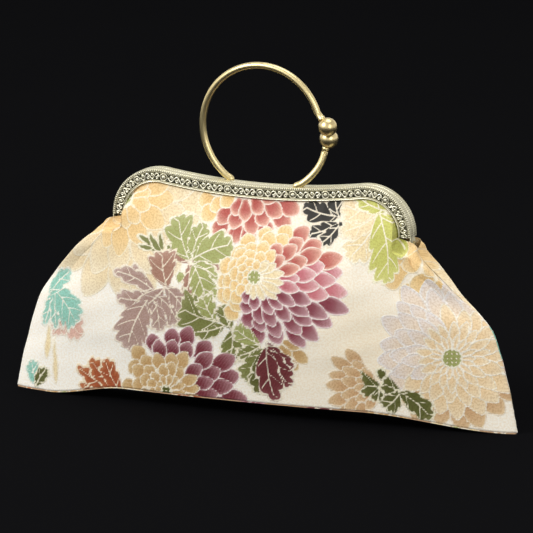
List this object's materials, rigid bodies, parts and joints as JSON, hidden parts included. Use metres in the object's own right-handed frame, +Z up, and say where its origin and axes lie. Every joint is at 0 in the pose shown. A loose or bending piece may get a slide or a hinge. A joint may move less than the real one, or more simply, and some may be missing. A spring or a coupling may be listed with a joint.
{
  "type": "clasp frame purse",
  "caption": "Brocade purse that widens to pointed lower corners, in an embossed brass clasp frame closed by ring arcs with snap balls.",
  "frame": {"origin": "middle of the footprint, at the height that the base rests on", "axes": "+X along the frame to the right seen from the front, +Y to the back, +Z up"},
  "size_m": [0.338, 0.0518, 0.2244],
  "materials": {
    "antique_brass": "embossed, aged",
    "dark_brass": "dull",
    "polished_brass": "polished",
    "ball_brass": "polished",
    "ivory_brocade": "woven flower brocade",
    "base_brocade": "woven brocade",
    "cream_lining": "plain weave",
    "paper_cord": "twisted paper, matte"
  },
  "bodies": {
    "pouch": {"outer_front_panel": "ivory_brocade", "outer_back_panel": "ivory_brocade", "outer_base_panel": "base_brocade", "lining_front": "cream_lining", "lining_back": "cream_lining", "lining_base": "cream_lining"},
    "front_frame": {"front_frame_half": "antique_brass", "front_paper_cord": "paper_cord", "short_ring_arc": "polished_brass", "lower_clasp_ball": "ball_brass"},
    "back_frame": {"back_frame_half": "antique_brass", "back_paper_cord": "paper_cord", "left_hinge_rivet": "dark_brass", "right_hinge_rivet": "dark_brass", "long_ring_arc": "polished_brass", "upper_clasp_ball": "ball_brass"}
  },
  "joints": [
    {"name": "front_frame_hinge", "type": "hinge", "parent": "pouch", "child": "front_frame", "pos_m": [0, 0, 0.114], "axis": [1, 0, 0], "range_deg": [0, 50], "deforming": ["outer_front_panel", "lining_front", "short_ring_arc", "lower_clasp_ball"]},
    {"name": "back_frame_hinge", "type": "hinge", "parent": "pouch", "child": "back_frame", "pos_m": [0, 0, 0.114], "axis": [-1, 0, 0], "range_deg": [0, 50], "deforming": ["outer_back_panel", "lining_back"]}
  ]
}
